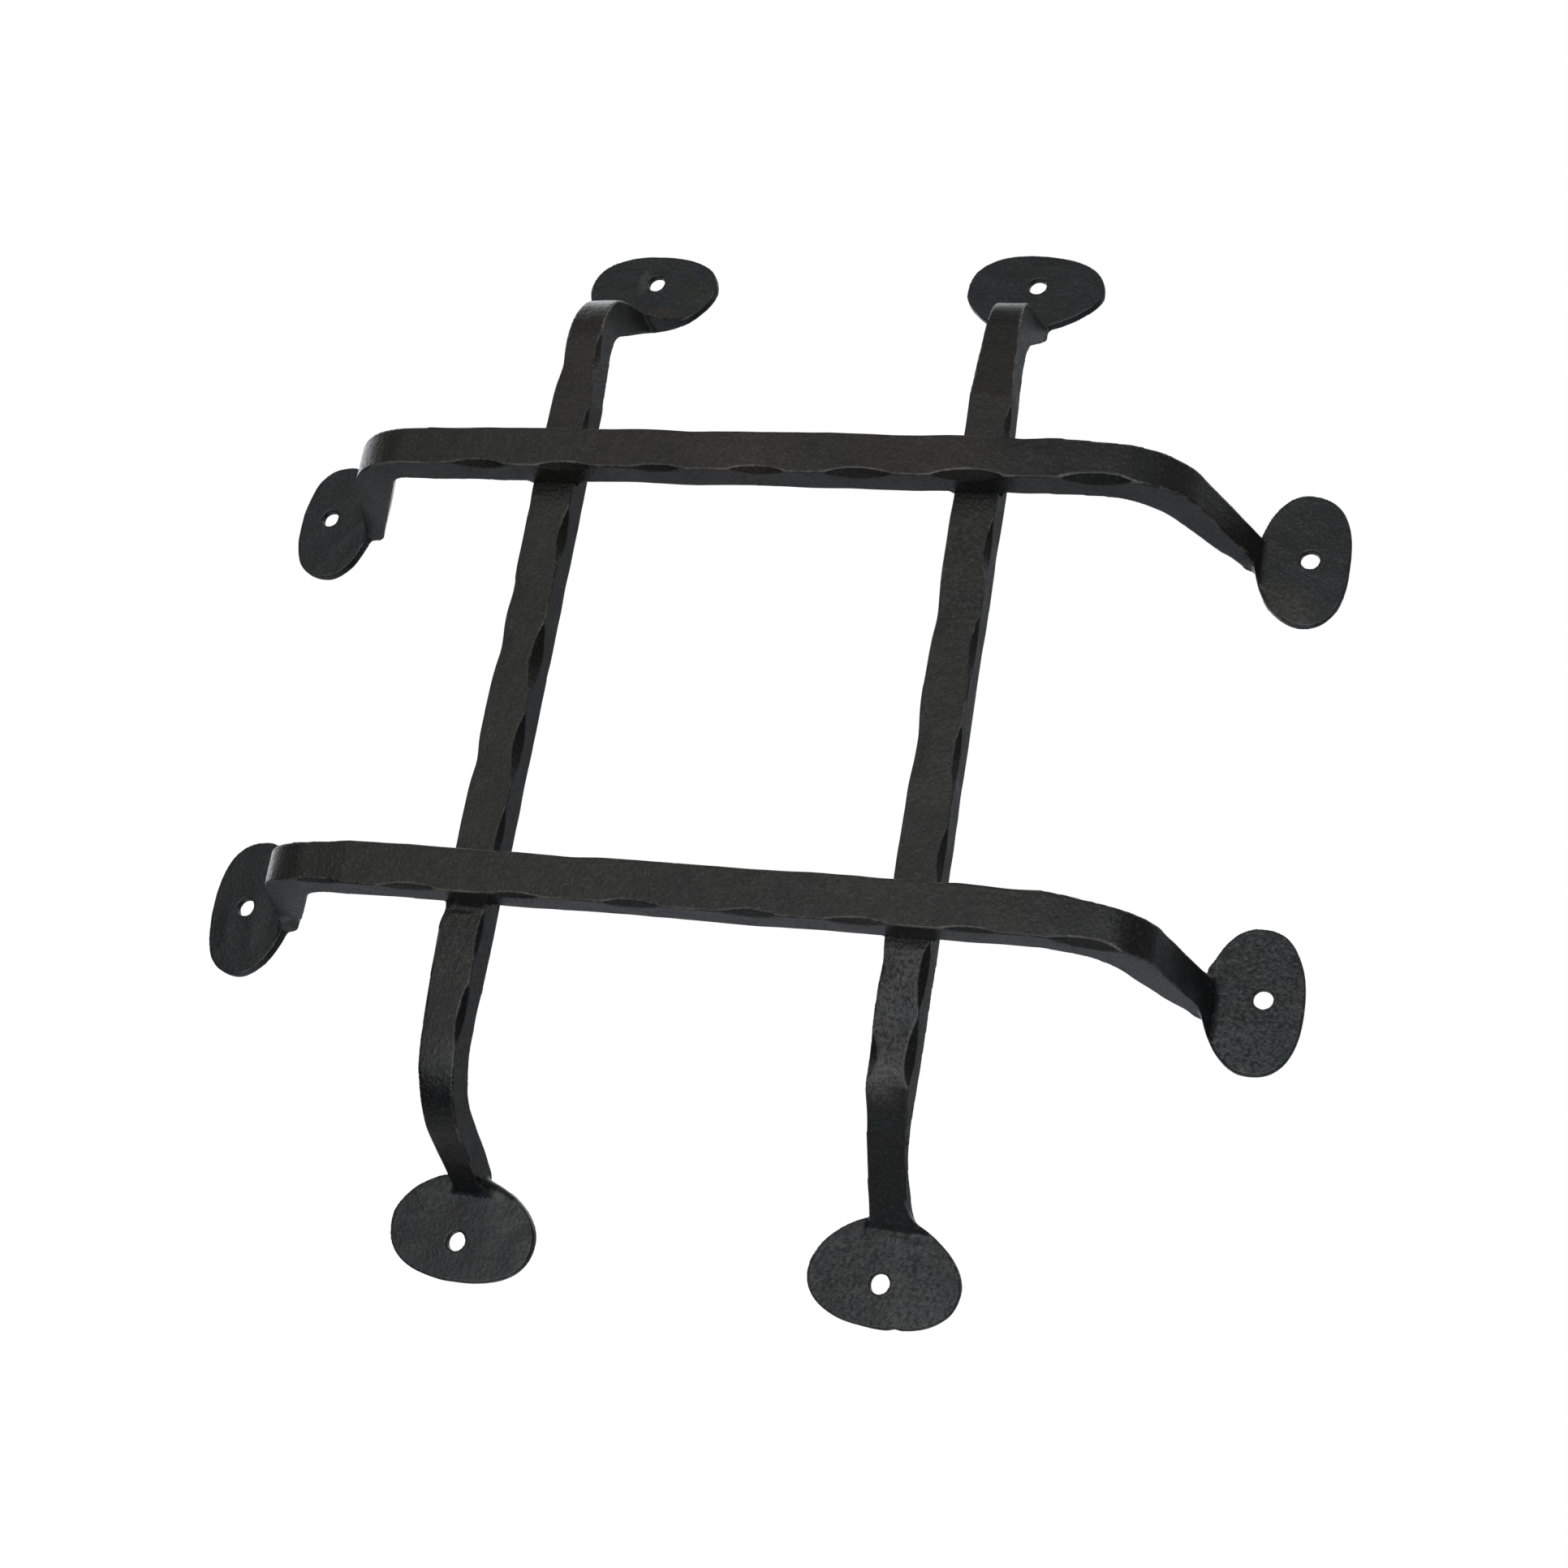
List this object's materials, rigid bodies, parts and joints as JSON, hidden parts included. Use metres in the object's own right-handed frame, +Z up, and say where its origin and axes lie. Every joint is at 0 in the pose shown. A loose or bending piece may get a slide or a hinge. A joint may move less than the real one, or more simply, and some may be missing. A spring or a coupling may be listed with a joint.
{
  "type": "speakeasy door grille",
  "caption": "Hand-forged iron grille of crossed flat bars for a door's viewing window, each bar bent back to the door and ending in hammered oval screw feet.",
  "frame": {"origin": "on the door's face, in the middle of the viewing window between the bars", "axes": "as it hangs on the door: +X to the visitor's right, +Z up, -Y out of the door towards the visitor"},
  "size_m": [0.3038, 0.0506, 0.3046],
  "materials": {
    "iron": "blackened hand-forged iron with hammer scale, satin"
  },
  "bodies": {
    "root": {"upper_crossbar": "iron", "lower_crossbar": "iron", "left_upright": "iron", "right_upright": "iron", "weld_upper_left": "iron", "weld_upper_right": "iron", "weld_lower_left": "iron", "weld_lower_right": "iron"}
  },
  "joints": []
}
